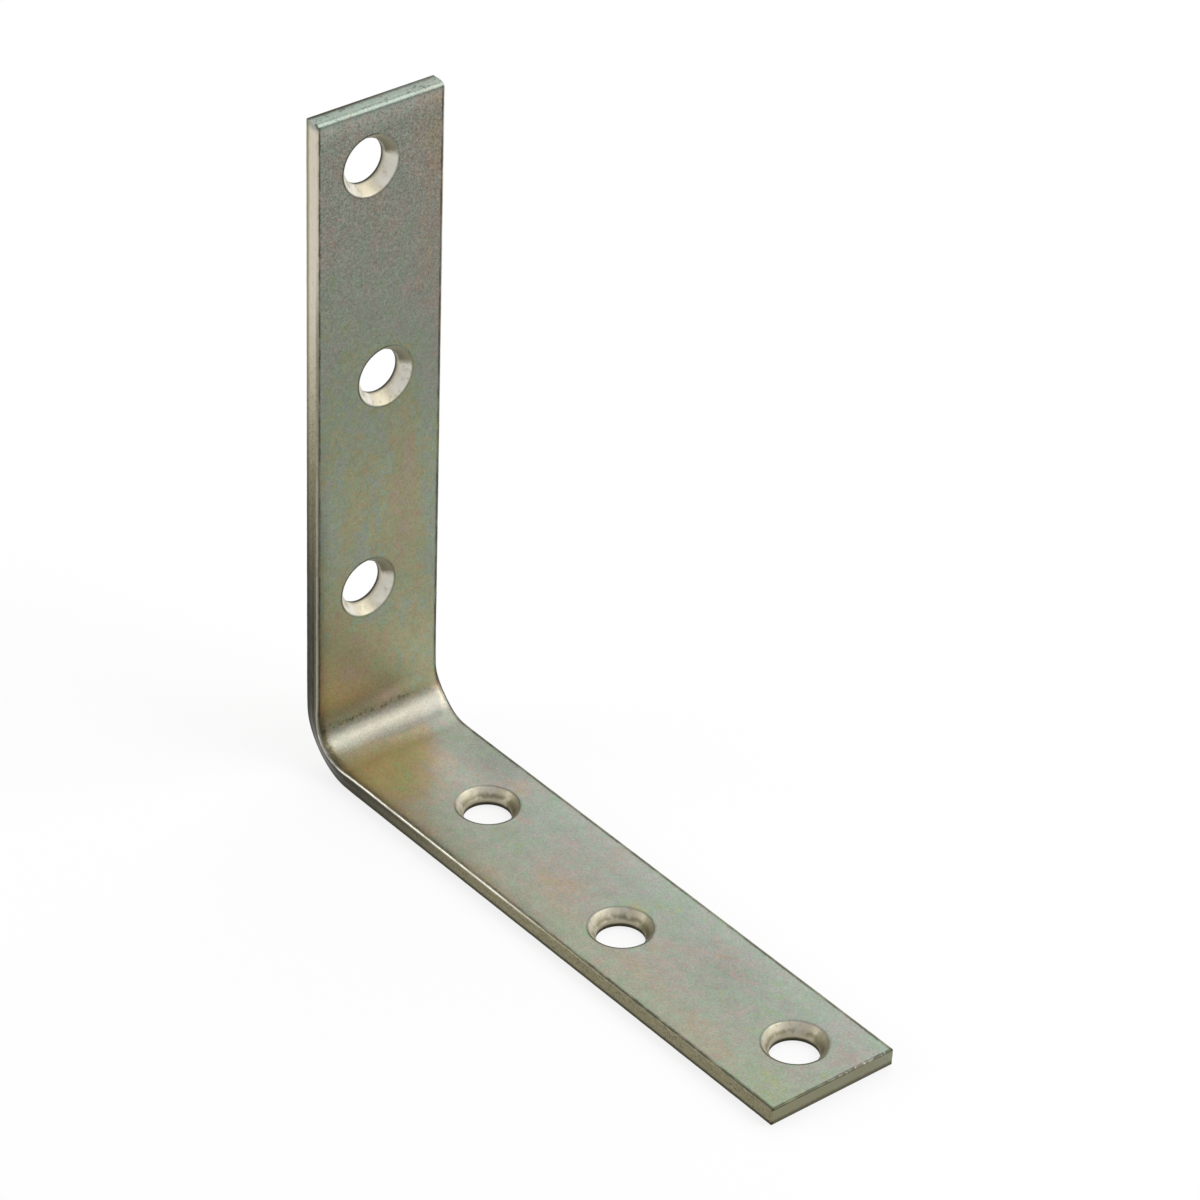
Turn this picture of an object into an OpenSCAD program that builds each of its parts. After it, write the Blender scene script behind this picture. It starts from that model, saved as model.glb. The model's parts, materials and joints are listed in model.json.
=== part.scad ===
// Angle bracket: one strip of steel, cut to length, punched and countersunk for
// screws, and bent square. It stands on its base leg with the other leg upright.
// The origin is the heel, where the planes of the two outer faces cross, at
// mid width. +X runs along the base leg, +Z up the upright leg and +Y across.

/* [Strip] */
// Width of the strip
strip_w = 25.4; // [20:0.1:34]
// Thickness of the strip
strip_t = 3.1; // [2.4:0.1:4.5]
// Radius on the long edges of the inner faces
inner_edge_r = 0.4; // [0.1:0.05:0.8]
// Radius on the long edges of the outer faces
outer_edge_r = 0.25; // [0.1:0.05:0.8]

/* [Legs] */
// Length of the upright leg, from the outer face of the base leg
upright_l = 124.3; // [105:0.1:160]
// Length of the base leg, from the outer face of the upright leg
base_l = 122.8; // [105:0.1:160]
// Radius that the shear rolled onto the upright's end, on the inner face
upright_end_r = 0.8; // [0.2:0.05:1.5]
// Radius on the base leg's end, on the inner face
base_end_r = 0.2; // [0.1:0.05:1.5]

/* [Bend] */
// Radius of the bend on the inner faces
bend_r = 8; // [5:0.1:12]
// How far the squeezed metal bulges out of each side, on the inside of the bend
bulge_h = 0.8; // [0.2:0.05:1.2]
// How far the bulge reaches along the side, from its middle to where it dies out
bulge_reach = 8; // [6:0.1:11]

/* [Screw holes] */
// Number of holes in each leg
hole_count = 3; // [2:1:4]
// Diameter of the straight part of a hole
hole_d = 8.3; // [5:0.1:10]
// How much wider the countersink's radius is than the hole's
sink_flare = 1.3; // [0.5:0.05:2.2]
// Length of the straight part of a hole, below the countersink
sink_land = 1.3; // [0.6:0.05:2]
// Radius that rounds the rim of the countersink
sink_rim_r = 0.5; // [0.1:0.05:1]
// Distance from the heel to the middle of the first hole
first_hole = 32.65; // [26:0.05:40]
// Distance from the middle of the last hole to the end of the leg
end_margin = 10.7; // [8:0.05:16]
// How far the holes stand to one side and the other of their row, in turn
hole_stagger = 1.65; // [0:0.05:3]
// How far the rows lie off the middle of the strip
row_shift = -0.35; // [-2:0.05:2]

/* [Hidden] */
$fn = 96;
// Distance from each outer face to the axis of the bend
bend_axis = strip_t + bend_r;
// How far cutters run past the faces that they cut
over = 1;
hole_r = hole_d / 2;
sink_r = hole_r + sink_flare;
sink_depth = strip_t - sink_land;
sink_angle = atan(sink_flare / sink_depth);
// Distance from the rim's sharp corner to where its rounding starts
rim_run = sink_rim_r * tan(45 - sink_angle / 2);
// The bulge is a shallow cap of a sphere on each side. Its middle lies half
// its reach inside the bend, so that it is highest at the inner face.
bulge_in = bulge_reach / 2;
// How deep the sphere's centre lies under the side of the strip
bulge_drop = (pow(bulge_reach, 2) - pow(bulge_in, 2) - pow(bulge_h, 2)) / (2 * bulge_h);
bulge_r = norm([bulge_reach, bulge_drop]);
// How far the bulge's solid runs into the strip, and its slab out of it
bulge_root = bulge_h + 0.5;

// What rounds a corner at the origin, for material that fills +X and +Y
module corner_cut(r) {
    difference() {
        translate([-over, -over]) square(r + over);
        translate([r, r]) circle(r);
    }
}

// The strip's section: X runs from the inner face to the outer, Y across
module strip_section() {
    difference() {
        translate([0, -strip_w / 2]) square([strip_t, strip_w]);
        for (side = [0, 1]) mirror([0, side]) {
            translate([0, -strip_w / 2]) corner_cut(inner_edge_r);
            translate([strip_t, -strip_w / 2]) mirror([1, 0]) corner_cut(outer_edge_r);
        }
    }
}

// The bracket's outline seen from the side, with square ends
module side_outline() {
    difference() {
        union() {
            translate([bend_axis, 0]) square([base_l - bend_axis, strip_t]);
            translate([0, bend_axis]) square([strip_t, upright_l - bend_axis]);
            intersection() {
                square(bend_axis);
                translate([bend_axis, bend_axis]) circle(bend_axis);
            }
        }
        translate([bend_axis, bend_axis]) circle(bend_r);
    }
}

// A cutter for one hole, up through a leg that lies on z = 0
module screw_hole() {
    translate([0, 0, -over]) cylinder(r = hole_r, h = strip_t + 2 * over);
    translate([0, 0, sink_land]) cylinder(r1 = hole_r, r2 = sink_r, h = sink_depth);
    // The rounding of the rim, between the cone and the face
    rotate_extrude() difference() {
        polygon([
            [sink_r - rim_run * sin(sink_angle), strip_t - rim_run * cos(sink_angle)],
            [sink_r + rim_run, strip_t],
            [sink_r + rim_run, strip_t + over],
            [sink_r - rim_run * sin(sink_angle), strip_t + over]
        ]);
        translate([sink_r + rim_run, strip_t - sink_rim_r]) circle(sink_rim_r);
    }
}

// A leg along +X with its outer face on z = 0. The first hole stands to the
// side that first_side names, and the others alternate.
module leg(length, end_r, first_side) {
    pitch = (length - end_margin - first_hole) / (hole_count - 1);
    difference() {
        translate([bend_axis, 0, strip_t]) rotate([0, 90, 0])
            linear_extrude(height = length - bend_axis) strip_section();
        for (i = [0 : hole_count - 1])
            translate([first_hole + i * pitch, row_shift + first_side * pow(-1, i) * hole_stagger, 0])
                screw_hole();
        translate([length, 0, strip_t]) rotate([90, 0, 0])
            linear_extrude(height = strip_w + 2 * over, center = true) rotate(180) corner_cut(end_r);
    }
}

// A quarter ring of the strip round the bend's axis
module bend() {
    translate([bend_axis, 0, bend_axis]) rotate([90, 0, 0]) rotate([0, 0, 180])
        rotate_extrude(angle = 90) translate([bend_r, 0]) strip_section();
}

// The metal squeezed out of one side of the strip on the inside of the bend
module bulge() {
    middle = bend_axis - (bend_r - bulge_in) / sqrt(2);
    intersection() {
        translate([0, strip_w / 2 + bulge_root, 0]) rotate([90, 0, 0])
            linear_extrude(height = 2 * bulge_root) side_outline();
        translate([middle, strip_w / 2 - bulge_drop, middle]) sphere(bulge_r);
    }
}

module angle_bracket() {
    color([0.64, 0.65, 0.59]) union() {
        leg(base_l, base_end_r, 1);
        mirror([1, 0, -1]) leg(upright_l, upright_end_r, -1);
        bend();
        for (side = [0, 1]) mirror([0, side, 0]) bulge();
    }
}

angle_bracket();
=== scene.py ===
"""Angle bracket for wood screws: the visible steel strip, its zinc finish and a studio.

The strip is worked out flat first, in unrolled sizes in millimetres: s runs along it from
the upright leg's end, through the bend, to the base leg's end, y runs across it, and t runs
from its inner face to its outer one. Then it is bent square about the bend's axis.
"""

import json

import bmesh
import bpy
import numpy as np
from bpy.props import FloatProperty, FloatVectorProperty, IntProperty, PointerProperty
from mathutils import Matrix, Vector


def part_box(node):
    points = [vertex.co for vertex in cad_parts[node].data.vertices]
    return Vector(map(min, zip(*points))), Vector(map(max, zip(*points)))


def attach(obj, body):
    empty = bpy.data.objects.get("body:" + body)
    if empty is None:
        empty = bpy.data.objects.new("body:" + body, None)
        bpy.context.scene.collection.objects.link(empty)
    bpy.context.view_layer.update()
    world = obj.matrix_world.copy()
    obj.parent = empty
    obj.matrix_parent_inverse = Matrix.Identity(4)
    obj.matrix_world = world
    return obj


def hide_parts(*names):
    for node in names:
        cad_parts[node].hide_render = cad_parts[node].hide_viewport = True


bl_info = {
    "name": "Angle Bracket",
    "version": (1, 0, 0),
    "blender": (4, 5, 0),
    "location": "3D View > Sidebar > Bracket",
    "description": "Builds a countersunk angle bracket of zinc plated strip, and a studio",
    "category": "Object",
}

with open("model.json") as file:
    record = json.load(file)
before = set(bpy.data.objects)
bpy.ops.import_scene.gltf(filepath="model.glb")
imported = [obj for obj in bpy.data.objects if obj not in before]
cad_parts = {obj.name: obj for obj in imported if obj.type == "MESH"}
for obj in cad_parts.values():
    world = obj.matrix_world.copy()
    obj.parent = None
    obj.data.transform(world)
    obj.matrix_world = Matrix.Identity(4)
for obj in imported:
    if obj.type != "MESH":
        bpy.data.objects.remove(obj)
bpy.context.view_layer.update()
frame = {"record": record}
NODE = "angle_bracket"
FINISH = "zinc_plated_steel"
MM = 0.001
LOW, HIGH = (Vector(corner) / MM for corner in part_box(NODE))
HOLES = [mount for mount in frame["record"]["mounts"] if mount["kind"] == "bore"]


# Sizes and colours

def length(name, description, default, **limits):
    """A property for a size in millimetres."""
    return FloatProperty(name=name, description=f"{description}, in mm", default=default, **limits)


def colour(name, description, default):
    """A property for a base colour, as linear red, green and blue."""
    return FloatVectorProperty(name=name, description=description, default=default,
                               subtype="COLOR", size=3, min=0, max=1)


class StripSizes(bpy.types.PropertyGroup):
    width: length("Width", "Width of the strip", 25.4, min=20, max=34)
    thickness: length("Thickness", "Thickness of the strip", 3.1, min=2.4, max=4.5)
    upright: length("Upright leg", "Length of the upright leg", HIGH.z)
    base: length("Base leg", "Length of the base leg", HIGH.x)
    bend: length("Bend radius", "Radius of the bend on the inner faces", 8.0)
    inner_roll: length("Inner arris", "Radius on the inner faces' long edge toward -Y", 0.4)
    far_roll: length("Far arris", "Radius on the inner faces' long edge toward +Y", 0.2)
    outer_roll: length("Outer arris", "Radius on the outer faces' long edges", 0.12)
    bulge: length("Bulge", "How far the squeezed metal stands out of the bend's sides", 0.58)
    draw_in: length("Draw in", "How far the sides draw in at the outside of the bend", 0.3)
    upright_end_roll: length("Upright end roll", "Radius rolled onto the upright's end", 1.2)
    base_end_roll: length("Base end roll", "Radius on the base leg's end", 0.2)


class HoleSizes(bpy.types.PropertyGroup):
    flare: length("Flare", "How much wider the countersink's radius is than the hole's", 1.3)
    land: length("Land", "Length of the straight part below the countersink", 1.3)
    rim: length("Rim", "Radius that rounds the countersink's rim", 0.5)
    segments: IntProperty(
        name="Segments", description="Facets along one side of the mesh window round a hole",
        default=24, min=8, max=40)


class FinishColours(bpy.types.PropertyGroup):
    green: colour("Green film", "Blue green of the thinnest film", (0.212, 0.250, 0.190))
    blue: colour("Blue film", "Blue grey of a thin film", (0.224, 0.239, 0.200))
    lilac: colour("Lilac film", "Lilac of the film", (0.242, 0.230, 0.193))
    pink: colour("Pink film", "Pink of the film", (0.262, 0.224, 0.178))
    brass: colour("Brass film", "Brass of a thick film", (0.264, 0.226, 0.146))
    yellow: colour("Yellow film", "Yellow of a thick film", (0.250, 0.238, 0.136))
    olive: colour("Olive film", "Green of the thickest film", (0.224, 0.250, 0.158))
    # The sides' cream is partly bright sheared metal and partly painted reflection
    cut: colour("Sheared edge", "Bright cream of the sheared sides", (0.640, 0.580, 0.470))
    torn: colour("Torn edge", "Olive of the torn part of the sides", (0.420, 0.385, 0.250))
    # Also a painted highlight along the arrises and the base leg's burr
    worn: colour("Worn arris", "Bright metal along the worn edges", (0.750, 0.720, 0.620))
    # Also painted shade along the arrises, round the rims, in the holes and in the bend
    grime_and_shade: colour("Dark arris", "Dark line where the film gathers", (0.030, 0.028, 0.012))
    cone: colour("Countersink", "Bright cream of the countersinks", (0.705, 0.650, 0.505))
    bore: colour("Bore", "Olive film in the straight part of the holes", (0.190, 0.168, 0.085))
    pressed: colour("Pressed band", "Pale band pressed in the bend", (0.240, 0.241, 0.212))
    # Also painted shade down the upright's sides and in the countersinks
    dull: colour("Dull edge", "Brown grey of the base leg's sides", (0.245, 0.222, 0.125))
    # Mostly painted shade: on the sides round the bend, along the -Y edge, at the ends and in the
    # countersinks
    shaded: colour("Dark edge", "Dark olive of the sides next to the bend", (0.020, 0.016, 0.005))
    # A painted reflection in the upright's countersinks
    bright_cone: colour("Bright countersink", "Cone of the upright's holes", (0.90, 0.87, 0.78))
    end_film: colour("End film", "Blue green film on the upright's end", (0.200, 0.255, 0.222))
    speck: colour("Dark specks", "Dark specks in the film", (0.120, 0.125, 0.100))
    glint: colour("Bright specks", "Bright specks in the film", (0.420, 0.420, 0.360))


class StudioSettings(bpy.types.PropertyGroup):
    floor: colour("Floor", "Colour of the floor", (0.95, 0.95, 0.95))
    lift: FloatProperty(
        name="White", description="How much of the background's white shows on the floor",
        default=0.8, min=0, max=1, subtype="FACTOR")
    surround: FloatProperty(
        name="Surround", description="Strength of the even light from all round", default=0.42)
    lens: FloatProperty(name="Lens", description="Focal length, in mm", default=149.08)


# Shapes

def smooth(x):
    """0 below 0, 1 above 1, and 3x^2 - 2x^3 between."""
    x = np.clip(x, 0, 1)
    return x * x * (3 - 2 * x)


def wander(s, seed, lengths=(11.0, 4.3, 1.7), shares=(1.0, 0.7, 0.5)):
    """An uneven line: a sum of sines of s with these wavelengths and shares, at seeded phases."""
    turns = np.random.default_rng(seed).uniform(0, 1, len(lengths))
    waves = [a * np.sin(2 * np.pi * (s / w + p)) for w, a, p in zip(lengths, shares, turns)]
    return sum(waves) / sum(shares)


def fillet_line(points, radii, steps):
    """Straight lines through the points, with an arc of each radius in place of each corner.
    The arc's centre lies on the corner's bisector, at the radius divided by the sine of half
    the corner's angle, and the arc turns evenly from one tangent point to the other."""
    points = np.asarray(points, float)
    parts = [points[:1]]
    for before, corner, after, radius in zip(points[:-2], points[1:-1], points[2:], radii):
        u = (before - corner) / np.linalg.norm(before - corner)
        v = (after - corner) / np.linalg.norm(after - corner)
        half = np.arccos(u @ v) / 2
        centre = corner + (u + v) / np.linalg.norm(u + v) * radius / np.sin(half)
        start = corner + u * radius / np.tan(half) - centre
        end = corner + v * radius / np.tan(half) - centre
        turn = np.pi - 2 * half
        k = np.linspace(0, 1, steps + 1)[:, None]
        swing = np.sin((1 - k) * turn) * start + np.sin(k * turn) * end
        parts.append(centre + swing / np.sin(turn))
    parts.append(points[-1:])
    return np.vstack(parts)


class Strip:
    """The strip's sizes, and where its holes lie when it is unrolled."""

    # Half the side of the square of mesh round each hole, and how far from the strip's ends
    # the rings that round them over start, which is more than the end rolls' radii
    WINDOW = 7.0
    END_RUN = 1.6
    # Steps round the bend, and the bulge's reach along the strip as a share of the bend's radius
    BEND_STEPS = 64
    BEND_REACH = 0.62
    # How far the bulge reaches in from each side, its middle's depth, and its reach in depth
    BULGE_ACROSS = 3.5
    BULGE_MIDDLE = 0.5
    BULGE_DEEP = 1.5

    def __init__(self, sizes, holes):
        self.w, self.t, self.r = sizes.width, sizes.thickness, sizes.bend
        self.axis = self.t + self.r
        self.bend_start = sizes.upright - self.axis
        self.bend_end = self.bend_start + self.r * np.pi / 2
        self.length = self.bend_end + sizes.base - self.axis
        self.sizes, self.holes = sizes, holes
        found = []
        for mount in HOLES:
            x, y, z = (v / MM for v in mount["pos_m"])
            on_base = mount["axis"][2] == 1
            s = self.bend_end + x - self.axis if on_base else sizes.upright - z
            found.append((s, y, mount["dims"]["r_mm"]))
        self.bores = np.array(sorted(found))

    def stations(self):
        """Places along the strip: even cells in each hole's window and between the windows.
        Returns them with the index at which each window starts."""
        k, half = self.holes.segments, self.WINDOW
        cell = 2 * half / k
        stops = [self.END_RUN]
        for s, _, _ in self.bores:
            stops += [s - half, s + half]
        stops.append(self.length - self.END_RUN)
        parts, starts, count = [], [], 0
        for n, (a, b) in enumerate(zip(stops[:-1], stops[1:])):
            if n % 2:
                starts.append(count)
                part = np.linspace(a, b, k + 1)[:-1]
            elif a < self.bend_start < b:
                part = np.concatenate([
                    np.linspace(a, self.bend_start, round((self.bend_start - a) / cell) + 1)[:-1],
                    np.linspace(self.bend_start, self.bend_end, self.BEND_STEPS + 1)[:-1],
                    np.linspace(self.bend_end, b, round((b - self.bend_end) / cell) + 1)[:-1]])
            else:
                part = np.linspace(a, b, max(3, round((b - a) / cell)) + 1)[:-1]
            parts.append(part)
            count += len(part)
        return np.append(np.concatenate(parts), stops[-1]), starts

    def row(self, s):
        """Where the line of holes lies across the strip at s: at each hole's own place in
        its window, and easing from one to the next between them."""
        out = np.full_like(s, self.bores[0][1])
        for (s0, y0, _), (s1, y1, _) in zip(self.bores[:-1], self.bores[1:]):
            out += (y1 - y0) * smooth((s - s0 - self.WINDOW) / (s1 - s0 - 2 * self.WINDOW))
        return out

    def bent(self, s):
        """1 in the middle of the bend, dying out past its ends as a bell curve."""
        middle = (self.bend_start + self.bend_end) / 2
        return np.exp(-((s - middle) / (self.BEND_REACH * self.r)) ** 2)

    def place(self, s, y, t):
        """Unrolled sizes to the bracket's own: straight down the upright, a quarter turn
        about the bend's axis, and straight out along the base. In the bend the inner half
        of the strip bulges out of both sides, and the outer half draws in a little."""
        turn = np.clip((s - self.bend_start) / self.r, 0, np.pi / 2)
        reach = self.r + t
        x = self.axis - reach * np.cos(turn) + np.maximum(s - self.bend_end, 0)
        z = self.axis - reach * np.sin(turn) + np.maximum(self.bend_start - s, 0)
        inward = np.abs(y) - self.w / 2 + self.BULGE_ACROSS
        near_side = np.clip(inward / self.BULGE_ACROSS, 0, None) ** 2
        squeezed = self.sizes.bulge * np.exp(-((t - self.BULGE_MIDDLE) / self.BULGE_DEEP) ** 2)
        spread = squeezed - self.sizes.draw_in * t / self.t
        y = y + np.sign(y) * spread * self.bent(s) * near_side
        return np.stack([x, y, z], axis=-1)


# How unevenly the rolls' radii and the torn part wander, as shares. Then, in mm, how much
# the bend opens the inner rolls out, and how far the shear tore the sides back
ROLL_WANDER = 0.16
TORN_WANDER = 0.35
BEND_OPENS = 0.12
TORN_BACK = 0.05


def strip_section(strip, s):
    """The strip's closed outline at each station, as y and t, each (stations, points), going
    across the inner face, down the +Y side, back across the outer face and up the -Y side.
    Its rolls are quarter circles whose radii wander, and open out in the bend. The sheared
    sides are plumb next to the inner face and torn back a little next to the outer one."""
    s = s[:, None]
    size, half, k = strip.sizes, strip.w / 2, strip.holes.segments
    bent = strip.bent(s)
    # Shares of the way from a roll to the holes' windows, and from one roll down to the other
    margin = np.array([0, 0.03, 0.12, 0.3, 0.52, 0.76, 1.0])
    down = np.array([0, 0.06, 0.2, 0.36, 0.5, 0.58, 0.66, 0.8, 0.94, 1.0])
    window = strip.row(s) + strip.WINDOW * (2 * np.arange(1, k) / k - 1)
    low, high = strip.row(s) - strip.WINDOW, strip.row(s) + strip.WINDOW
    phi = np.arange(1, 8) / 8 * np.pi / 2
    torn = TORN_BACK * smooth((down - 0.46) / 0.2)

    def face(roll_low, roll_high):
        """Across one face: by the margin's shares from the -Y roll to the holes' window,
        evenly through the window, and by the same shares to the +Y roll."""
        left = -half + roll_low + margin * (low + half - roll_low)
        right = half - roll_high - margin[::-1] * (half - roll_high - high)
        return np.concatenate([left, window, right], axis=1)

    def rolls(radius, seed):
        """The radii of one side's inner and outer rolls at each station."""
        inner = radius * (1 + ROLL_WANDER * wander(s, seed)) + BEND_OPENS * bent
        outer = size.outer_roll * (1 + ROLL_WANDER * wander(s, seed + 1))
        return inner, outer

    inner_a, outer_a = rolls(size.inner_roll, 11)
    inner_b, outer_b = rolls(size.far_roll, 21)

    def side(inner, outer, seed):
        """From the end of the inner roll to the start of the outer one, as depth and inset."""
        t = inner + down * (strip.t - outer - inner)
        inset = torn * (1 + TORN_WANDER * wander(s, seed)) * (1 - 0.7 * bent)
        return t, inset

    t_b, inset_b = side(inner_b, outer_b, 31)
    t_a, inset_a = side(inner_a, outer_a, 41)
    top, bottom = face(inner_a, inner_b), face(outer_a, outer_b)[:, ::-1]
    y = np.concatenate([
        top, half - inner_b + inner_b * np.sin(phi),
        half - inset_b, half - outer_b + (outer_b - inset_b[:, -1:]) * np.cos(phi),
        bottom, -half + outer_a - (outer_a - inset_a[:, -1:]) * np.sin(phi),
        -half + inset_a[:, ::-1], -half + inner_a - inner_a * np.cos(phi)], axis=1)
    t = np.concatenate([
        np.zeros_like(top), inner_b - inner_b * np.cos(phi),
        t_b, strip.t - outer_b + outer_b * np.sin(phi),
        np.full_like(bottom, strip.t), strip.t - outer_a + outer_a * np.cos(phi),
        t_a[:, ::-1], inner_a - inner_a * np.sin(phi)], axis=1)
    counts = {"face": top.shape[1], "roll": len(phi), "side": len(down), "margin": len(margin)}
    return y, t, counts


class Shell:
    """Collects rows of points in unrolled sizes, and the faces between them."""

    def __init__(self):
        self.points, self.marks, self.quads, self.count = [], [], [], 0

    def add(self, s, y, t, **marks):
        """Adds points, and returns their indices in the shape that they came in."""
        s, y, t = np.broadcast_arrays(s, y, t)
        index = self.count + np.arange(s.size).reshape(s.shape)
        self.points.append(np.stack([s, y, t], -1).reshape(-1, 3))
        row = np.zeros((s.size, len(MARKS)))
        for name, value in marks.items():
            row[:, MARKS.index(name)] = np.broadcast_to(value, s.shape).reshape(-1)
        self.marks.append(row)
        self.count += s.size
        return index

    def skin(self, a, b, keep=None):
        """Quads between two closed or open rows of indices of one length."""
        quads = np.stack([a[..., :-1], b[..., :-1], b[..., 1:], a[..., 1:]], -1)
        self.quads.append((quads if keep is None else quads[keep]).reshape(-1, 4))


# What each point of a hole is marked with: how far it belongs to the countersink, the bore,
# the outer face's lip and the line of painted shade round the rim, its direction from the
# hole's middle along and across the strip, and its depth, which is 1 where the bore starts
MARKS = ["cone", "bore", "lip", "rim", "along", "across", "deep"]


def closed(index):
    """The same row of indices with its first one again at the end."""
    return np.concatenate([index, index[..., :1]], axis=-1)


# Radius on the edges of the ends that the shear didn't roll, in mm
END_REST = 0.2


def end_rings(strip, y, t, roll, sign, origin, steps=7):
    """Rings that round the strip's end over. Each point runs out along a quarter circle of
    its own radius, roll at the inner face and END_REST at the outer, while the outline
    shrinks by as much in t and by END_REST at the sides."""
    phi = np.arange(0, steps + 1)[:, None] / steps * np.pi / 2
    depth = t / strip.t
    radius = roll + (END_REST - roll) * smooth(depth * 2)
    left = 1 - np.cos(phi)
    y_ring = y * (strip.w - 2 * END_REST * left) / strip.w
    top, bottom = roll * left, strip.t - END_REST * left
    t_ring = top + depth * (bottom - top)
    s_ring = origin + sign * radius * (1 - np.sin(phi))
    return s_ring, y_ring, t_ring


def coons(bottom, top, left, right):
    """A patch between four edge rows: the edges blended both ways, less the corners' blend."""
    u = np.linspace(0, 1, bottom.shape[0])[None, :, None]
    v = np.linspace(0, 1, left.shape[0])[:, None, None]
    across = (1 - v) * bottom[None] + v * top[None]
    along = (1 - u) * left[:, None] + u * right[:, None]
    corners = ((1 - u) * (1 - v) * bottom[0] + u * (1 - v) * bottom[-1]
               + (1 - u) * v * top[0] + u * v * top[-1])
    return across + along - corners


def build_strip(strip):
    """The whole bracket as one closed skin."""
    shell = Shell()
    s, starts = strip.stations()
    y, t, n = strip_section(strip, s)
    face, roll, side = n["face"], n["roll"], n["side"]
    k = strip.holes.segments
    m = y.shape[1]
    body = shell.add(s[:, None], y, t)

    # Quads of the body, less those in the holes' windows on both faces
    keep = np.ones((len(s) - 1, m), bool)
    first = n["margin"] - 1
    back = face + 2 * roll + side
    for start in starts:
        keep[start:start + k, first:first + k] = False
        keep[start:start + k, back + first:back + first + k] = False
    ring = closed(body)
    shell.skin(ring[:-1], ring[1:], keep)

    # Holes: a polar patch from the window on the inner face, down the countersink and the
    # bore, to the window on the outer face
    for start, (s0, y0, radius) in zip(starts, strip.bores):
        add_hole(shell, strip, body, start, first, back, s0, y0, radius)

    # Ends
    for origin, sign, row, size in ((0, 1, 0, strip.sizes.upright_end_roll),
                                    (strip.length, -1, -1, strip.sizes.base_end_roll)):
        se, ye, te = end_rings(strip, y[row], t[row], size, sign, origin)
        rings = shell.add(se, ye, te)
        chain = closed(np.vstack([body[row], rings]))
        shell.skin(chain[:-1], chain[1:])
        add_cap(shell, rings[-1], (se[-1], ye[-1], te[-1]), m, face, roll, side)
    return shell


def add_cap(shell, ring, place, m, face, roll, side):
    """Fills the flat of an end: a patch whose corners are the middles of the four rolls."""
    h = (roll + 1) // 2
    a = (np.arange(m - h, m + face + h)) % m
    b = np.arange(face + h - 1, face + h - 1 + side + roll + 1)
    c = np.arange(b[-1], b[-1] + face + roll + 1)
    d = np.arange(c[-1], c[-1] + side + roll + 1)
    inner, right, outer, left = ring[a], ring[b], ring[c][::-1], ring[d % m][::-1]
    points = np.stack(place, -1)
    patch = coons(points[a], points[c][::-1], points[d % m][::-1], points[b])
    index = np.zeros(patch.shape[:2], int)
    index[0], index[-1], index[:, 0], index[:, -1] = inner, outer, left, right
    middle = patch[1:-1, 1:-1]
    index[1:-1, 1:-1] = shell.add(middle[..., 0], middle[..., 1], middle[..., 2])
    shell.skin(index[:-1], index[1:])


# Round a hole, in mm: how far its rings reach past the countersink, the radii between the
# cone and the bore and between the bore and the outer face, and how far from the rims the
# rings lie at which the marks die out on the inner face and on the outer one
RING_RUN = 0.75
CONE_ROUND = 0.22
LIP_ROUND = 0.14
RIM_FADE = 0.45
LIP_FADE = 0.3


def add_hole(shell, strip, body, start, first, back, s0, y0, radius):
    """One hole: a profile that runs in across the inner face, down the cone and the bore and
    out across the outer face is carried round the hole's middle. Its outermost rings blend,
    on each face, from a circle to the body's square window."""
    k = strip.holes.segments
    i = np.arange(k)
    # Once round the window's edge, from its low corner
    ds = np.concatenate([i, np.full(k, k), k - i, np.zeros(k, int)])
    dy = np.concatenate([np.zeros(k, int), i, np.full(k, k), k - i])
    front = body[start + ds, first + dy]
    rear = body[start + ds, back + first + (k - dy)]
    angle = np.pi * 1.25 + np.arange(4 * k) / (4 * k) * 2 * np.pi
    square = np.stack([s0 + strip.WINDOW * (2 * ds / k - 1),
                       y0 + strip.WINDOW * (2 * dy / k - 1)], -1)
    around = np.stack([np.cos(angle), np.sin(angle)], -1)
    flare, land, rim = strip.holes.flare, strip.holes.land, strip.holes.rim
    opening = radius + flare
    flat = opening + RING_RUN
    line = fillet_line(
        [(flat, 0), (opening, 0), (radius, strip.t - land), (radius, strip.t), (flat, strip.t)],
        (rim, CONE_ROUND, LIP_ROUND), 6)
    line = np.insert(line, -1, (radius + LIP_FADE, strip.t), axis=0)
    line = np.insert(line, 1, (opening + RIM_FADE, 0), axis=0)
    r, t = line[:, :1], line[:, 1:]
    depth = t / (strip.t - land)
    cone = np.clip((opening + 0.1 - r) / 0.25, 0, 1) * (t < strip.t - 0.02)
    bore = smooth((depth - 0.94) / 0.12) * (r < radius + 0.1)
    lip = np.exp(-((t - strip.t) / 0.3) ** 2) * (r < radius + 0.15)
    rim_line = np.exp(-((r - opening - 0.22) / 0.1) ** 2) * (t < 0.5)
    along, across = around[None, :, 0], around[None, :, 1]
    rings = shell.add(s0 + r * along, y0 + r * across, t, cone=cone, bore=bore, lip=lip,
                      rim=rim_line, along=along, across=across, deep=np.clip(depth, 0, 1))
    fade = np.array([0.72, 0.4])[:, None, None]
    circle = np.array([s0, y0]) + flat * around
    rows = fade * square + (1 - fade) * circle
    upper = shell.add(rows[..., 0], rows[..., 1], 0.0)
    lower = shell.add(rows[::-1, :, 0], rows[::-1, :, 1], strip.t)
    chain = closed(np.vstack([front[None], upper, rings, lower, rear[None]]))
    shell.skin(chain[:-1], chain[1:])


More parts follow.
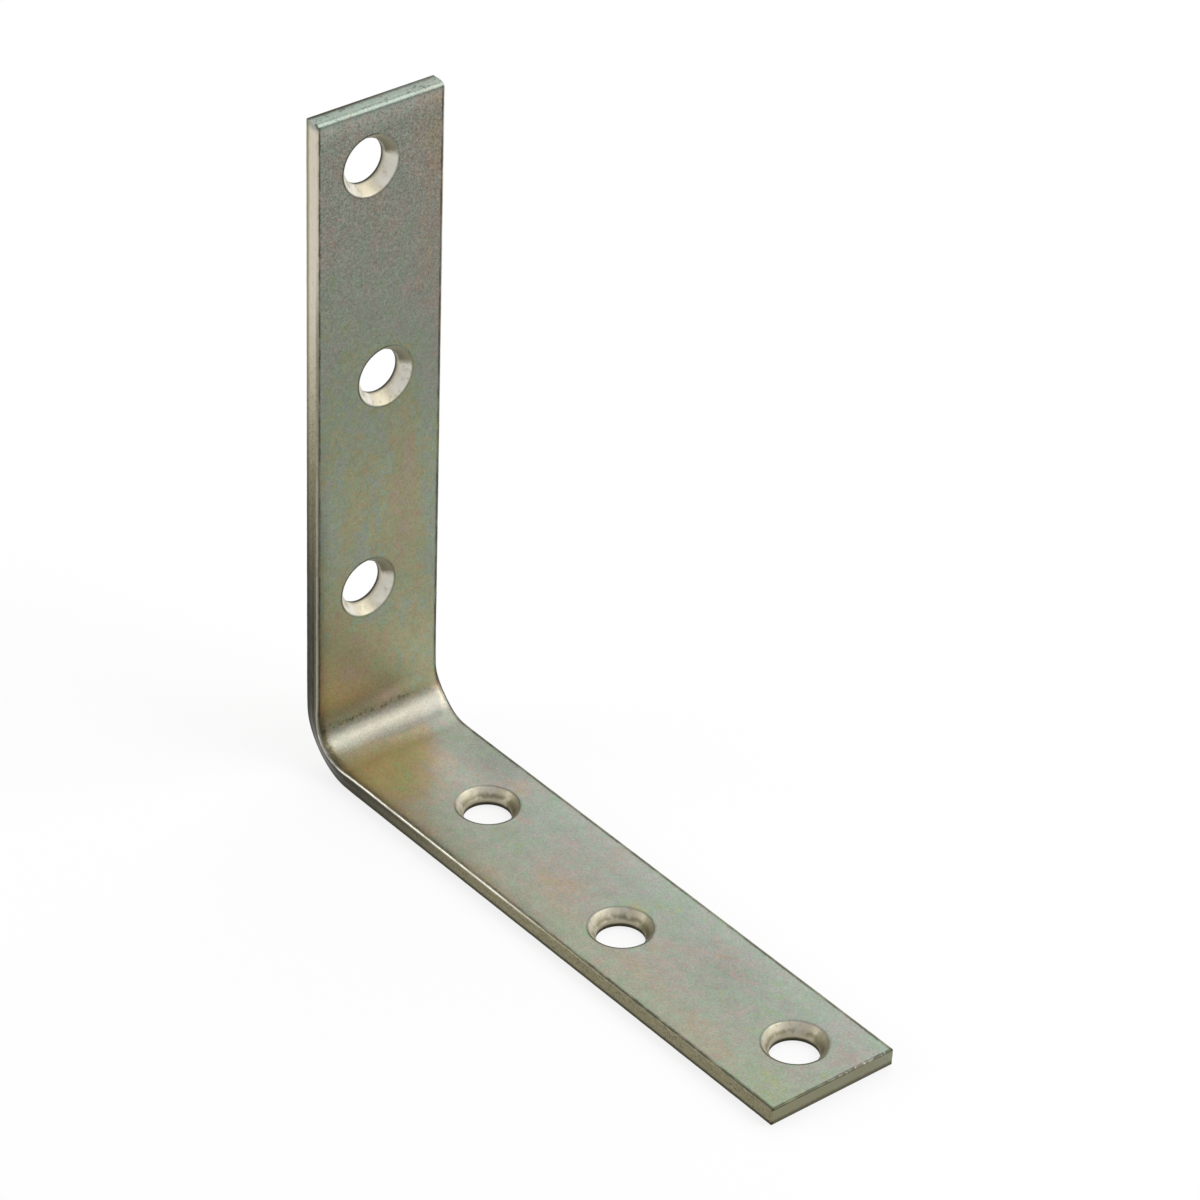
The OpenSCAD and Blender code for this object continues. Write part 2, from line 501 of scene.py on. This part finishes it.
def mesh_object(name, strip, shell):
    """Puts the collected skin into a mesh in metres, with its unrolled sizes and marks."""
    flat = np.vstack(shell.points)
    marks = np.vstack(shell.marks)
    verts = strip.place(*flat.T) * MM
    quads = np.vstack(shell.quads)
    mesh = bpy.data.meshes.new(name)
    mesh.from_pydata(verts.tolist(), [], quads.tolist())
    unrolled = mesh.attributes.new("unrolled", "FLOAT_VECTOR", "POINT")
    unrolled.data.foreach_set("vector", flat.astype(np.float32).ravel())
    for n, mark in enumerate(MARKS):
        layer = mesh.attributes.new(mark, "FLOAT", "POINT")
        layer.data.foreach_set("value", marks[:, n].astype(np.float32))
    shaped = bmesh.new()
    shaped.from_mesh(mesh)
    bmesh.ops.recalc_face_normals(shaped, faces=shaped.faces)
    shaped.to_mesh(mesh)
    shaped.free()
    mesh.shade_smooth()
    piece = bpy.data.objects.new(name, mesh)
    bpy.context.scene.collection.objects.link(piece)
    return piece


# Materials

class Socket:
    """A shader socket that takes part in sums: numbers or sockets on either side."""

    def __init__(self, shader, link):
        self.shader, self.link = shader, link

    def maths(self, operation, *values):
        """A Math node on these values."""
        return self.shader.node("ShaderNodeMath", {"operation": operation}, dict(enumerate(values)))

    def __add__(self, other): return self.maths("ADD", self, other)
    def __radd__(self, other): return self.maths("ADD", other, self)
    def __sub__(self, other): return self.maths("SUBTRACT", self, other)
    def __rsub__(self, other): return self.maths("SUBTRACT", other, self)
    def __mul__(self, other): return self.maths("MULTIPLY", self, other)
    def __rmul__(self, other): return self.maths("MULTIPLY", other, self)
    def __truediv__(self, other): return self.maths("DIVIDE", self, other)
    def __rtruediv__(self, other): return self.maths("DIVIDE", other, self)
    def __neg__(self): return self.maths("MULTIPLY", self, -1)
    def __abs__(self): return self.maths("ABSOLUTE", self)


class Shader:
    """Builds the nodes of one material."""

    def __init__(self, name):
        self.material = bpy.data.materials.new(name)
        self.material.use_nodes = True
        self.tree = self.material.node_tree
        self.tree.nodes.clear()

    def node(self, kind, settings=None, inputs=None, out=0):
        """Adds a node: its settings first, then the values or links of its sockets."""
        node = self.tree.nodes.new(kind)
        for name, value in (settings or {}).items():
            if name == "ramp":
                while len(node.color_ramp.elements) < len(value):
                    node.color_ramp.elements.new(0.5)
                for stop, (position, tone) in zip(node.color_ramp.elements, value):
                    stop.position, stop.color = position, (*tone, 1.0)
            else:
                setattr(node, name, value)
        for name, value in (inputs or {}).items():
            if isinstance(value, Socket):
                self.tree.links.new(value.link, node.inputs[name])
            else:
                node.inputs[name].default_value = value
        return Socket(self, node.outputs[out]) if node.outputs else None

    def vector(self, operation, *values):
        """A Vector Math node on these values."""
        return self.node("ShaderNodeVectorMath", {"operation": operation}, dict(enumerate(values)))

    def scaled(self, vector, factors):
        """A vector multiplied by its own factor along each axis."""
        return self.vector("MULTIPLY", vector, factors)

    def brightened(self, tone, factor):
        """A colour multiplied by one factor."""
        return self.node("ShaderNodeVectorMath", {"operation": "SCALE"}, {0: tone, 3: factor})

    def noise(self, vector, scale, detail, roughness, shift):
        """Noise from 0 to 1 whose grains are 1 / scale of the vector's unit, moved by shift."""
        moved = self.vector("ADD", vector, (shift, shift * 1.7, -shift))
        return self.node("ShaderNodeTexNoise", {"noise_dimensions": "3D"},
                         {"Vector": moved, "Scale": scale, "Detail": detail,
                          "Roughness": roughness})

    def ease(self, value, low, high, out_low=0.0, out_high=1.0):
        """out_low below low, out_high above high, and a smooth step between."""
        return self.node("ShaderNodeMapRange", {"interpolation_type": "SMOOTHSTEP"},
                         {"Value": value, "From Min": low, "From Max": high,
                          "To Min": out_low, "To Max": out_high})

    def mix(self, factor, a, b, blend="MIX"):
        """Colours mixed or multiplied by a factor."""
        rgba = [(*c, 1.0) if not isinstance(c, Socket) else c for c in (a, b)]
        return self.node("ShaderNodeMix", {"data_type": "RGBA", "blend_type": blend},
                         {0: factor, 6: rgba[0], 7: rgba[1]}, 2)

    def bell(self, value, middle, reach):
        """1 at middle, dying out as a bell curve with this reach on either side."""
        away = (value - middle) / reach
        power = -(away * away)
        return power.maths("EXPONENT", power)


def film_colour_and_painted_light(sh, tones, strip, s, y, unrolled, mm):
    """The passivation film: its colour runs through green, blue, lilac, pink, brass and
    yellow and back to green as it thickens. It is thin on the base leg, thick beside the
    bend toward -Y, and thicker still up the upright, with mottling of all sizes. Its paleness
    by place is partly the film's own and partly painted reflection and shade."""
    start, end = strip.bend_start, strip.bend_end
    middle = (start + end) / 2
    away = abs(s - middle)
    near_bend = (sh.ease(away + 0.5 * (y + 8.5), 10.0, 34.0, 1.0, 0.0)
                 * sh.ease(y, 2.0, 9.0, 1.0, 0.15))
    drawn = sh.scaled(unrolled, (0.5, 1.0, 1.0))
    mottle = sh.noise(drawn, 0.16, 3, 0.8, 3.1) - 0.5
    fleck = sh.noise(mm, 0.9, 3, 0.85, 45.0) - 0.5
    blush = sh.noise(mm, 0.45, 4, 0.85, 27.0)
    leg = 0.88 - 0.74 * sh.ease(s, start, end) + 0.36 * sh.ease(s, 15.0, 65.0, 1.0, 0.0)
    leg = leg + 0.16 * sh.ease(y, 6.0, 10.0) * sh.ease(s, start - 5, start - 40)
    # Blooms where the film is thicker or thinner: their middle and reach along and across
    # the strip, and by how much
    for bloom_s, bloom_y, reach_s, reach_y, depth in (
            (end + 47.0, -1.5, 8.0, 5.0, 0.30), (end + 38.0, -11.5, 12.0, 2.5, 0.32),
            (end + 84.0, -10.0, 14.0, 3.0, 0.24), (end + 78.0, 4.0, 8.0, 4.0, 0.12),
            (end + 20.0, 9.0, 9.0, 3.5, 0.14), (start - 38.0, 6.0, 20.0, 4.5, -0.26),
            (start - 44.0, -5.0, 11.0, 3.0, -0.20)):
        leg = leg + depth * sh.bell(s, bloom_s, reach_s) * sh.bell(y, bloom_y, reach_y)
    thick = leg + near_bend * (0.66 - leg) + 1.25 * mottle + 1.15 * fleck + 2.0
    film = sh.node("ShaderNodeValToRGB", {"ramp": [
        (0.00, tones.green), (0.16, tones.blue), (0.30, tones.lilac), (0.44, tones.pink),
        (0.60, tones.brass), (0.76, tones.yellow), (0.90, tones.olive), (1.00, tones.green)]},
        {0: thick.maths("FRACT", thick)})
    tint = sh.mix(sh.ease(blush, 0.42, 0.58), (0.96, 1.02, 0.98), (1.05, 0.97, 1.01))
    film = sh.mix(1.0, film, tint, "MULTIPLY")
    film = sh.mix(near_bend, film, (1.04, 0.97, 0.94), "MULTIPLY")
    near_tint = sh.ease(y, -9.0, -3.0, 1.0, 0.0) * sh.ease(s, end + 15, end + 30)
    film = sh.mix(near_tint, film, (0.98, 1.01, 0.92), "MULTIPLY")
    far_tint = sh.ease(y, -4.0, 9.0) * sh.ease(s, end, end + 20)
    film = sh.mix(far_tint, film, (0.99, 1.03, 1.07), "MULTIPLY")

    # How pale the film is at each place: partly the film's own tone, and partly painted
    # reflection and shade. This was fitted to the photograph. It is paler beside the bend and
    # at the upright's end, with a painted highlight along the +Y edge at the bend, and darker,
    # as painted shade, where the tool's edge bore on it and along the -Y edge
    beside = sh.ease(away + 0.25 * (y + 8.5), 9.0, 38.0, 1.0, 0.0)
    light = 1 + (0.52 - 0.09 * sh.ease(s, middle, end)) * beside
    light = light + 0.22 * sh.bell(s, start - 34.0, 17.0) * sh.ease(y, -12.0, -9.5)
    light = light - 0.09 * sh.bell(s, end + 81.0, 6.0) * sh.bell(y, 4.0, 5.0)
    light = light - 0.34 * sh.bell(s, middle + 3.0, 2.6) * sh.ease(y, 2.0, 9.0, 1.0, 0.5)
    light = (light - 0.42 * sh.ease(y, 2.0, 9.0) * sh.ease(s, middle + 2, end)
             * sh.ease(s, end + 10, end + 24, 1.0, 0.0))
    # A painted highlight along the +Y edge at the bend
    far_edge_highlight = 0.75 * sh.bell(s, start + 4.4, 2.0) + 0.20 * sh.bell(s, middle + 3.0, 2.5)
    light = light + far_edge_highlight * sh.ease(y, 8.0, 12.0)
    light = light - 0.30 * sh.bell(s, start + 2.4, 2.8) * sh.ease(y, -6.0, 4.0, 1.0, 0.25)
    light = light + 0.40 * sh.ease(s, 1.0, 5.0, 1.0, 0.0)
    light = light + 0.10 * sh.ease(y, 6, 11) * sh.ease(s, end + 10, end + 40)
    edge = sh.ease(y, -12.0, -9.5, 1.0, 0.0)
    light = light - 0.26 * edge * sh.ease(away, 10.0, 34.0, 1.0, 0.0)
    light = (light - 0.18 * edge * sh.ease(s, end + 15, end + 25)
             * sh.ease(s, end + 45, end + 65, 1.0, 0.0))
    cloud = sh.noise(mm, 0.33, 4, 0.95, 9.0) - 0.5
    return sh.brightened(film, light * (1 + 0.55 * cloud))


def zinc_finish(tones, strip):
    """Satin zinc plating: the film, a fine dark speckle, bright sheared edges and
    countersinks, and dark and bright lines along the arrises. Much of the light and dark is
    painted: shade round the bend, on the sides, along the arrises and in the holes,
    highlights along the bend's band, the arrises and the burr, and a reflection in the
    upright's countersinks. Most masks are functions of the unrolled sizes s, y and t."""
    sh = Shader(FINISH)
    mm = sh.scaled(sh.node("ShaderNodeTexCoord", out=3), (1 / MM,) * 3)
    unrolled = sh.node("ShaderNodeAttribute", {"attribute_name": "unrolled"}, out=1)
    s, y, t = (sh.node("ShaderNodeSeparateXYZ", inputs={0: unrolled}, out=n) for n in range(3))
    mark = {name: sh.node("ShaderNodeAttribute", {"attribute_name": name}, out=2) for name in MARKS}
    inset = strip.w / 2 - abs(y)
    start, end, length = strip.bend_start, strip.bend_end, strip.length
    middle = (start + end) / 2
    # Where the tool's edge bore on the inner face, a little past the start of the bend
    crease = start + 0.462 * strip.r
    ragged = sh.noise(mm, 1.1, 3, 0.7, 33.0) - 0.5
    patchy = sh.noise(mm, 0.30, 2, 0.5, 51.0)
    spots = sh.noise(mm, 1.7, 2, 0.6, 71.0)
    near_side = sh.ease(y, -10.0, -8.0, 1.0, 0.0)
    film = film_colour_and_painted_light(sh, tones, strip, s, y, unrolled, mm)

    # The band that the tool pressed, between a ragged line and a soft edge
    ripple = s - crease - 0.1 + 1.9 * ragged + 1.2 * (patchy - 0.5)
    fade = s - crease + 2.5 * (patchy - 0.5) - 0.05 * (y + 12)
    band = sh.ease(ripple, -0.5, 1.0) * sh.ease(fade, 3.6, 5.6, 1.0, 0.0)
    inner_face = sh.ease(t, 0.6, 1.4, 1.0, 0.0)
    rounded = inset + 0.3 * ragged - 0.35 * abs(s - crease - 2.2)
    band = band * sh.ease(rounded, 0.2, 1.4) * inner_face
    film = sh.mix(band * 0.75, film, tones.pressed)
    # A painted highlight along the pressed band, strongest toward the -Y edge, over brushed
    # streaks, with painted shade to either side of it
    brushed = sh.noise(sh.scaled(unrolled, (1.5, 0.2, 1.0)), 1.0, 3, 0.6, 5.0) - 0.5
    press = sh.ease(abs(s - crease - 2.6), 1.6, 3.8, 1.0, 0.0) * inner_face
    press = press * sh.ease(y, 2.0, 9.0, 1.0, 0.15)
    highlight_peak = 0.24 + 0.22 * sh.ease(y, -12.2, -9.5, 1.0, 0.0)
    band_highlight = sh.bell(s - crease + 0.8 * ragged, 2.6, 0.9) * highlight_peak
    film = sh.brightened(film, 1 + press * (band_highlight - 0.2 + 0.4 * brushed))

    # Dark and bright specks, more of them toward the upright's end
    dots = sh.noise(mm, 3.1, 2, 0.6, 88.0)
    more = sh.ease(s, 5.0, 60.0, 0.9, 0.35)
    film = sh.mix(sh.ease(dots, 0.48, 0.75) * more, film, tones.speck)
    film = sh.mix(sh.ease(dots, 0.52, 0.25) * more * 0.7, film, tones.glint)

    # Painted shade along the crease that the press tool left across the bend, a patch of
    # painted shade at the bend's -Y end, and painted shade along the -Y edge
    crease_shade = (sh.bell(ripple, -0.3, 0.42) * sh.ease(y, 3.0, 9.5, 1.0, 0.0)
                 * sh.ease(spots, 0.44, 0.6) * inner_face)
    film = sh.mix(crease_shade * 0.55, film, tones.grime_and_shade)
    hollow_shade = sh.bell(inset + 0.7 * ragged, 0.85, 0.5) * sh.bell(s, middle + 0.3, 4.6)
    hollow_shade = hollow_shade * near_side * inner_face
    film = sh.mix(hollow_shade * sh.ease(spots, 0.3, 0.6, 0.5, 0.85), film, tones.grime_and_shade)
    shade = sh.ease(inset, 0.3, 1.8, 0.35, 0.0) * near_side
    shade = shade * sh.ease(abs(s - middle), 25.0, 60.0, 1.0, 0.0)
    film = sh.mix(shade, film, tones.shaded)

    # Sheared sides: cream next to the inner face, partly bright metal and partly painted
    # reflection, and torn and olive next to the outer one. Painted shade makes them duller
    # from partway down the upright onward, brown grey on the base leg, nearly black round
    # the bend, and dark in a line below the inner roll and along it down the upright
    torn = sh.ease(t + 0.35 * ragged, strip.t * 0.66, strip.t * 0.82)
    cut = sh.mix(torn, tones.cut, tones.torn)
    cut = sh.mix(sh.ease(s, 28.0, start - 42.0), cut, tones.dull)
    streak = sh.noise(sh.scaled(unrolled, (0.7, 1.0, 3.0)), 1.0, 3, 0.6, 2.0)
    cut = sh.mix(sh.ease(streak, 0.5, 0.7, 0, 0.45), cut, tones.torn)
    cut = sh.mix(sh.ease(dots, 0.48, 0.72, 0.0, 0.55) * sh.ease(s, 28.0, 60.0), cut, tones.shaded)
    # Painted shade in a line below the inner roll, round the bend
    under = (sh.bell(t, 0.85, 0.4) * sh.ease(s, middle - 8.0, middle)
             * sh.ease(s, end + 10.0, end + 40.0, 1.0, 0.0))
    nearly_black = (sh.ease(s, start - 62.0, start - 14.0)
                    * sh.ease(s, end - 6.0, end + 45.0, 1.0, 0.12))
    side_shade = nearly_black * sh.ease(streak, 0.35, 0.6, 0.90, 1.0)
    less_dark = sh.ease(t, 0.65, 1.1, 1.0, 0.0) * sh.ease(s, start - 2, start + 6, 1.0, 0.0)
    side_shade = side_shade * (1 - 0.35 * less_dark)
    cut = sh.mix(side_shade.maths("MAXIMUM", side_shade, under * 0.95), cut, tones.shaded)
    # Painted shade along the inner roll down the upright
    roll = sh.bell(t, 0.2, 0.25) * sh.ease(s, 22.0, 40.0)
    roll = roll * sh.ease(s, start - 16.0, start - 8.0, 0.5, 0.0)
    cut = sh.mix(roll, cut, tones.shaded)
    skin = sh.mix(sh.ease(inset, 0.20, 0.34, 1.0, 0.0), film, cut)

    # Ends: greenish with dark spots on the upright, and painted shade behind; brown on the
    # base leg, with painted shade toward the outer face and painted highlights along the burr
    top_end = sh.ease(s, 0.02, 0.12, 1.0, 0.0)
    greenish = sh.ease(s + 1.6 * ragged + 0.5 * (patchy - 0.5), 0.3, 1.9, 0.72, 0.0)
    skin = sh.mix(greenish, skin, tones.end_film)
    spotted = sh.ease(s, 0.2, 1.2, 1.0, 0.0) * sh.ease(spots, 0.56, 0.66, 0.0, 0.5)
    skin = sh.mix(spotted, skin, tones.grime_and_shade)
    behind = sh.ease(t + 0.6 * ragged, 1.8, 2.7) * sh.ease(y, -6.0, 8.0, 0.95, 0.7)
    skin = sh.mix(top_end * behind, skin, tones.shaded)
    tip = sh.ease(s, length - 0.15, length - 0.05)
    skin = sh.mix(tip * sh.ease(ragged + 0.6 * patchy, 0.1, 0.5, 0.45, 0.8), skin, tones.dull)
    skin = sh.mix(tip * sh.ease(t + 0.5 * ragged, 1.9, 2.6, 0.0, 0.6), skin, tones.shaded)
    burr = sh.ease(s + 0.3 * ragged, length - 0.6, length - 0.35) * sh.ease(t, 0.15, 0.35, 1.0, 0.0)
    skin = sh.mix(burr * sh.ease(patchy, 0.45, 0.6, 0.7, 0.45), skin, tones.grime_and_shade)
    # Painted highlights in specks along the burr
    burr_highlights = burr * sh.ease(spots, 0.56, 0.7, 0.0, 0.3) * sh.ease(y, -4.0, 6.0)
    skin = sh.mix(burr_highlights, skin, tones.worn)

    # Countersinks: bright on the upright as a painted reflection, and cream on the base leg
    # with painted shade in their depths; painted shade on one side of each and in a line round
    # the rim; and bores, paler on the upright, with painted shade on one side and toward the
    # outer face
    smear = sh.noise(mm, 0.38, 2, 0.5, 61.0)
    turned = sh.noise(sh.scaled(unrolled, (1.1, 1.1, 0.5)), 1.0, 3, 0.6, 17.0)
    on_upright = sh.ease(s, start, end, 1.0, 0.0)
    along, across, deep = mark["along"], mark["across"], mark["deep"]
    cone_highlight = sh.ease(along, 0.8, 1.0, 1.0, 0.0) * on_upright + 0.6 * sh.bell(along, -0.72, 0.2)
    cone = sh.mix(cone_highlight, tones.cone, tones.bright_cone)
    cone = sh.mix(sh.ease(turned, 0.5, 0.68, 0.0, 0.3), cone, tones.dull)
    brown = sh.bell(deep + 0.4 * ragged, 0.76, 0.22) * sh.ease(smear, 0.44, 0.54, 0.2, 0.8)
    cone = sh.mix((1 - on_upright) * brown, cone, tones.dull)
    edge = on_upright * sh.ease(along + 0.3 * ragged, -0.3, 0.02, 0.9, 0.0)
    edge = edge + (1 - on_upright) * sh.ease(along + 0.3 * ragged, -0.2, 0.15, 0.0, 0.7)
    cone = sh.mix(edge, cone, tones.dull)
    cone = sh.mix(edge * sh.ease(deep, 0.2, 0.9, 0.1, 0.55), cone, tones.shaded)
    stain = on_upright * sh.bell(across, -0.85, 0.14) * sh.ease(along, 0.0, 0.3)
    cone = sh.mix(stain * sh.ease(deep, 0.2, 0.6) * 0.7, cone, tones.torn)
    skin = sh.mix(mark["cone"] * 0.95, skin, cone)
    shaded_side = sh.ease(along * (0.6 - 1.1 * on_upright) - 0.7 * across, 0.1, 0.6)
    skin = sh.mix(mark["rim"] * (0.28 + 0.65 * shaded_side), skin, tones.grime_and_shade)
    bore = sh.mix(0.6 + 0.35 * on_upright - 0.7 * edge, tones.bore, tones.cone)
    low = strip.t - 0.85 + 0.15 * on_upright
    bore = sh.mix(sh.ease(t + 0.3 * ragged, low, low + 0.3, 0.0, 0.9), bore, tones.grime_and_shade)
    skin = sh.mix(mark["bore"], skin, bore)

    # Arrises: painted shade in a dark line on the face, and on the roll beside it a bright
    # line, partly wear and partly painted highlight; then painted shade along the sides next
    # to the outer face and round the holes' outer lips
    on_face = sh.ease(t, 0.02, 0.3, 1.0, 0.0)
    dark = sh.bell(inset + 0.4 * ragged, 0.42, 0.2) * on_face
    dark = dark.maths("MAXIMUM", dark, sh.bell(inset + 0.4 * ragged, 0.3, 0.34) * near_side
                      * sh.ease(t, 0.2, 0.5, 1.0, 0.0) * sh.ease(s, end + 50.0, end + 75.0))
    skin = sh.mix(dark * sh.ease(patchy, 0.3, 0.6, 0.35, 0.85), skin, tones.grime_and_shade)
    worn = sh.ease(s, start, start + 5.0, 0.4, 1.0) * sh.ease(s, end + 35.0, end + 60.0, 1.0, 0.1)
    worn = worn * sh.ease(s, 40.0, 70.0) * near_side
    bright = sh.bell(t + 0.2 * ragged, 0.22, 0.17) * sh.ease(inset, 0.3, 0.5, 1.0, 0.0)
    skin = sh.mix(bright * worn * sh.ease(patchy, 0.35, 0.5, 0.7, 1.0), skin, tones.worn)
    rear = sh.ease(t, strip.t - 0.85, strip.t - 0.35) * sh.ease(inset, 0.35, 0.5, 1.0, 0.0)
    skin = sh.mix(rear * sh.ease(s, 50.0, 90.0, 0.35, 0.92), skin, tones.grime_and_shade)
    skin = sh.mix(mark["lip"], skin, tones.grime_and_shade)

    # Satin, rougher in the countersinks. The bright cones of the upright are mostly not
    # metal, which with their bright colour is a painted reflection that keeps them nearly as
    # bright as the photograph's
    rough = 0.36 + 0.14 * (sh.noise(mm, 0.35, 3, 0.6, 6.0) - 0.5) + 0.2 * mark["cone"]
    pits = sh.noise(mm, 2.2, 3, 0.65, 14.0)
    drawn_lines = sh.noise(sh.scaled(unrolled, (0.12, 3.0, 3.0)), 1.0, 2, 0.5, 22.0)
    height = pits * 0.7 + drawn_lines * 0.3
    bump = sh.node("ShaderNodeBump", inputs={
        "Strength": 0.35, "Distance": 0.00006, "Height": height})
    metal_but_painted_cones = 1 - 0.85 * mark["cone"] * cone_highlight * on_upright
    surface = sh.node("ShaderNodeBsdfPrincipled", inputs={
        "Base Color": skin, "Metallic": metal_but_painted_cones, "Roughness": rough, "Normal": bump})
    sh.node("ShaderNodeOutputMaterial", inputs={"Surface": surface})
    return sh.material


def floor_paint(studio):
    """Matt white paint, mixed with the background's white where it is seen: by the camera,
    by metal and through glass."""
    sh = Shader("floor_paint")
    paint = sh.node("ShaderNodeBsdfPrincipled", inputs={
        "Base Color": (*studio.floor, 1.0), "Roughness": 0.9, "Specular IOR Level": 0.1})
    white = sh.node("ShaderNodeEmission", inputs={"Color": (1, 1, 1, 1), "Strength": 1.0})
    camera, glossy, glass = (sh.node("ShaderNodeLightPath", out=name) for name in
                             ("Is Camera Ray", "Is Glossy Ray", "Is Transmission Ray"))
    seen = camera.maths("MAXIMUM", camera, glossy.maths("MAXIMUM", glossy, glass))
    surface = sh.node("ShaderNodeMixShader", inputs={0: seen * studio.lift, 1: paint, 2: white})
    sh.node("ShaderNodeOutputMaterial", inputs={"Surface": surface})
    return sh.material


# Operators

class BRACKET_OT_strip(bpy.types.Operator):
    """Makes the bent strip with its holes and its zinc finish"""

    bl_idname = "bracket.strip"
    bl_label = "Bracket"

    def execute(self, context):
        scene = context.scene
        strip = Strip(scene.bracket_strip, scene.bracket_holes)
        piece = mesh_object("angle_bracket_strip", strip, build_strip(strip))
        piece.data.materials.append(zinc_finish(scene.bracket_finish, strip))
        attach(piece, "root")
        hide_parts(NODE)
        return {"FINISHED"}


# Each soft light: name, direction from the bracket (azimuth and elevation in degrees),
# distance and size in metres, and how bright its face is next to a white of 1
LIGHTS = (
    ("key_right", 46.0, 42.0, 1.5, (1.10, 1.10), 3.0),
    ("top_back", 140.0, 50.0, 1.5, (1.60, 1.40), 1.5),
    ("fill_left", 229.0, 20.0, 1.5, (0.90, 0.80), 2.2),
)
AIM = Vector((0.04, 0.0, 0.045))
# The camera's right, up and backward directions and its place in metres, from the
# photograph's straight edges
CAMERA_AXES = ((0.62853, 0.777142, 0.031634), (-0.448417, 0.328835, 0.831137),
               (0.635509, -0.53658, 0.555167))
CAMERA_PLACE = (0.562649, -0.423148, 0.498576)
# Half the floor's side, and how far it lies under the bracket, in metres
FLOOR_HALF = 3.0
FLOOR_GAP = 0.0001


class BRACKET_OT_studio(bpy.types.Operator):
    """Makes the floor, the soft lights and the camera"""

    bl_idname = "bracket.studio"
    bl_label = "Studio"

    def execute(self, context):
        scene = context.scene
        studio = scene.bracket_studio
        world = bpy.data.worlds.new("studio")
        world.use_nodes = True
        background = world.node_tree.nodes["Background"]
        background.inputs["Color"].default_value = (1, 1, 1, 1)
        background.inputs["Strength"].default_value = studio.surround
        scene.world = world
        for name, azimuth, elevation, distance, size, bright in LIGHTS:
            light = bpy.data.lights.new(name, "AREA")
            light.shape = "RECTANGLE"
            light.size, light.size_y = size
            light.energy = bright * np.pi * size[0] * size[1]
            lamp = bpy.data.objects.new(name, light)
            a, e = np.radians(azimuth), np.radians(elevation)
            away = Vector((np.cos(a) * np.cos(e), np.sin(a) * np.cos(e), np.sin(e)))
            lamp.location = AIM + away * distance
            lamp.rotation_euler = away.to_track_quat("Z", "Y").to_euler()
            scene.collection.objects.link(lamp)
        mesh = bpy.data.meshes.new("floor")
        corners = [(-1, -1), (1, -1), (1, 1), (-1, 1)]
        mesh.from_pydata([(FLOOR_HALF * x, FLOOR_HALF * y, 0) for x, y in corners],
                         [], [(0, 1, 2, 3)])
        mesh.transform(Matrix.Translation((0, 0, -FLOOR_GAP)))
        floor = bpy.data.objects.new("floor", mesh)
        mesh.materials.append(floor_paint(studio))
        scene.collection.objects.link(floor)
        lens = bpy.data.cameras.new("camera")
        lens.lens, lens.sensor_width, lens.sensor_fit = studio.lens, 36.0, "HORIZONTAL"
        camera = bpy.data.objects.new("camera", lens)
        turn = Matrix(CAMERA_AXES).transposed().to_4x4()
        camera.matrix_world = Matrix.Translation(CAMERA_PLACE) @ turn
        scene.collection.objects.link(camera)
        scene.camera = camera
        scene.view_settings.view_transform = "Standard"
        return {"FINISHED"}


class BRACKET_PT_panel(bpy.types.Panel):
    bl_label = "Angle Bracket"
    bl_idname = "BRACKET_PT_panel"
    bl_space_type = "VIEW_3D"
    bl_region_type = "UI"
    bl_category = "Bracket"

    def draw(self, context):
        for group in ("bracket_strip", "bracket_holes", "bracket_finish", "bracket_studio"):
            settings = getattr(context.scene, group)
            box = self.layout.box()
            for name in settings.__annotations__:
                box.prop(settings, name)
        self.layout.operator(BRACKET_OT_strip.bl_idname)
        self.layout.operator(BRACKET_OT_studio.bl_idname)


GROUPS = {"bracket_strip": StripSizes, "bracket_holes": HoleSizes,
          "bracket_finish": FinishColours, "bracket_studio": StudioSettings}
CLASSES = (*GROUPS.values(), BRACKET_OT_strip, BRACKET_OT_studio, BRACKET_PT_panel)


def register():
    for kind in CLASSES:
        bpy.utils.register_class(kind)
    for name, kind in GROUPS.items():
        setattr(bpy.types.Scene, name, PointerProperty(type=kind))


def unregister():
    for name in GROUPS:
        delattr(bpy.types.Scene, name)
    for kind in reversed(CLASSES):
        bpy.utils.unregister_class(kind)


def main():
    register()
    bpy.ops.bracket.strip()
    bpy.ops.bracket.studio()


if __name__ == "__main__":
    main()
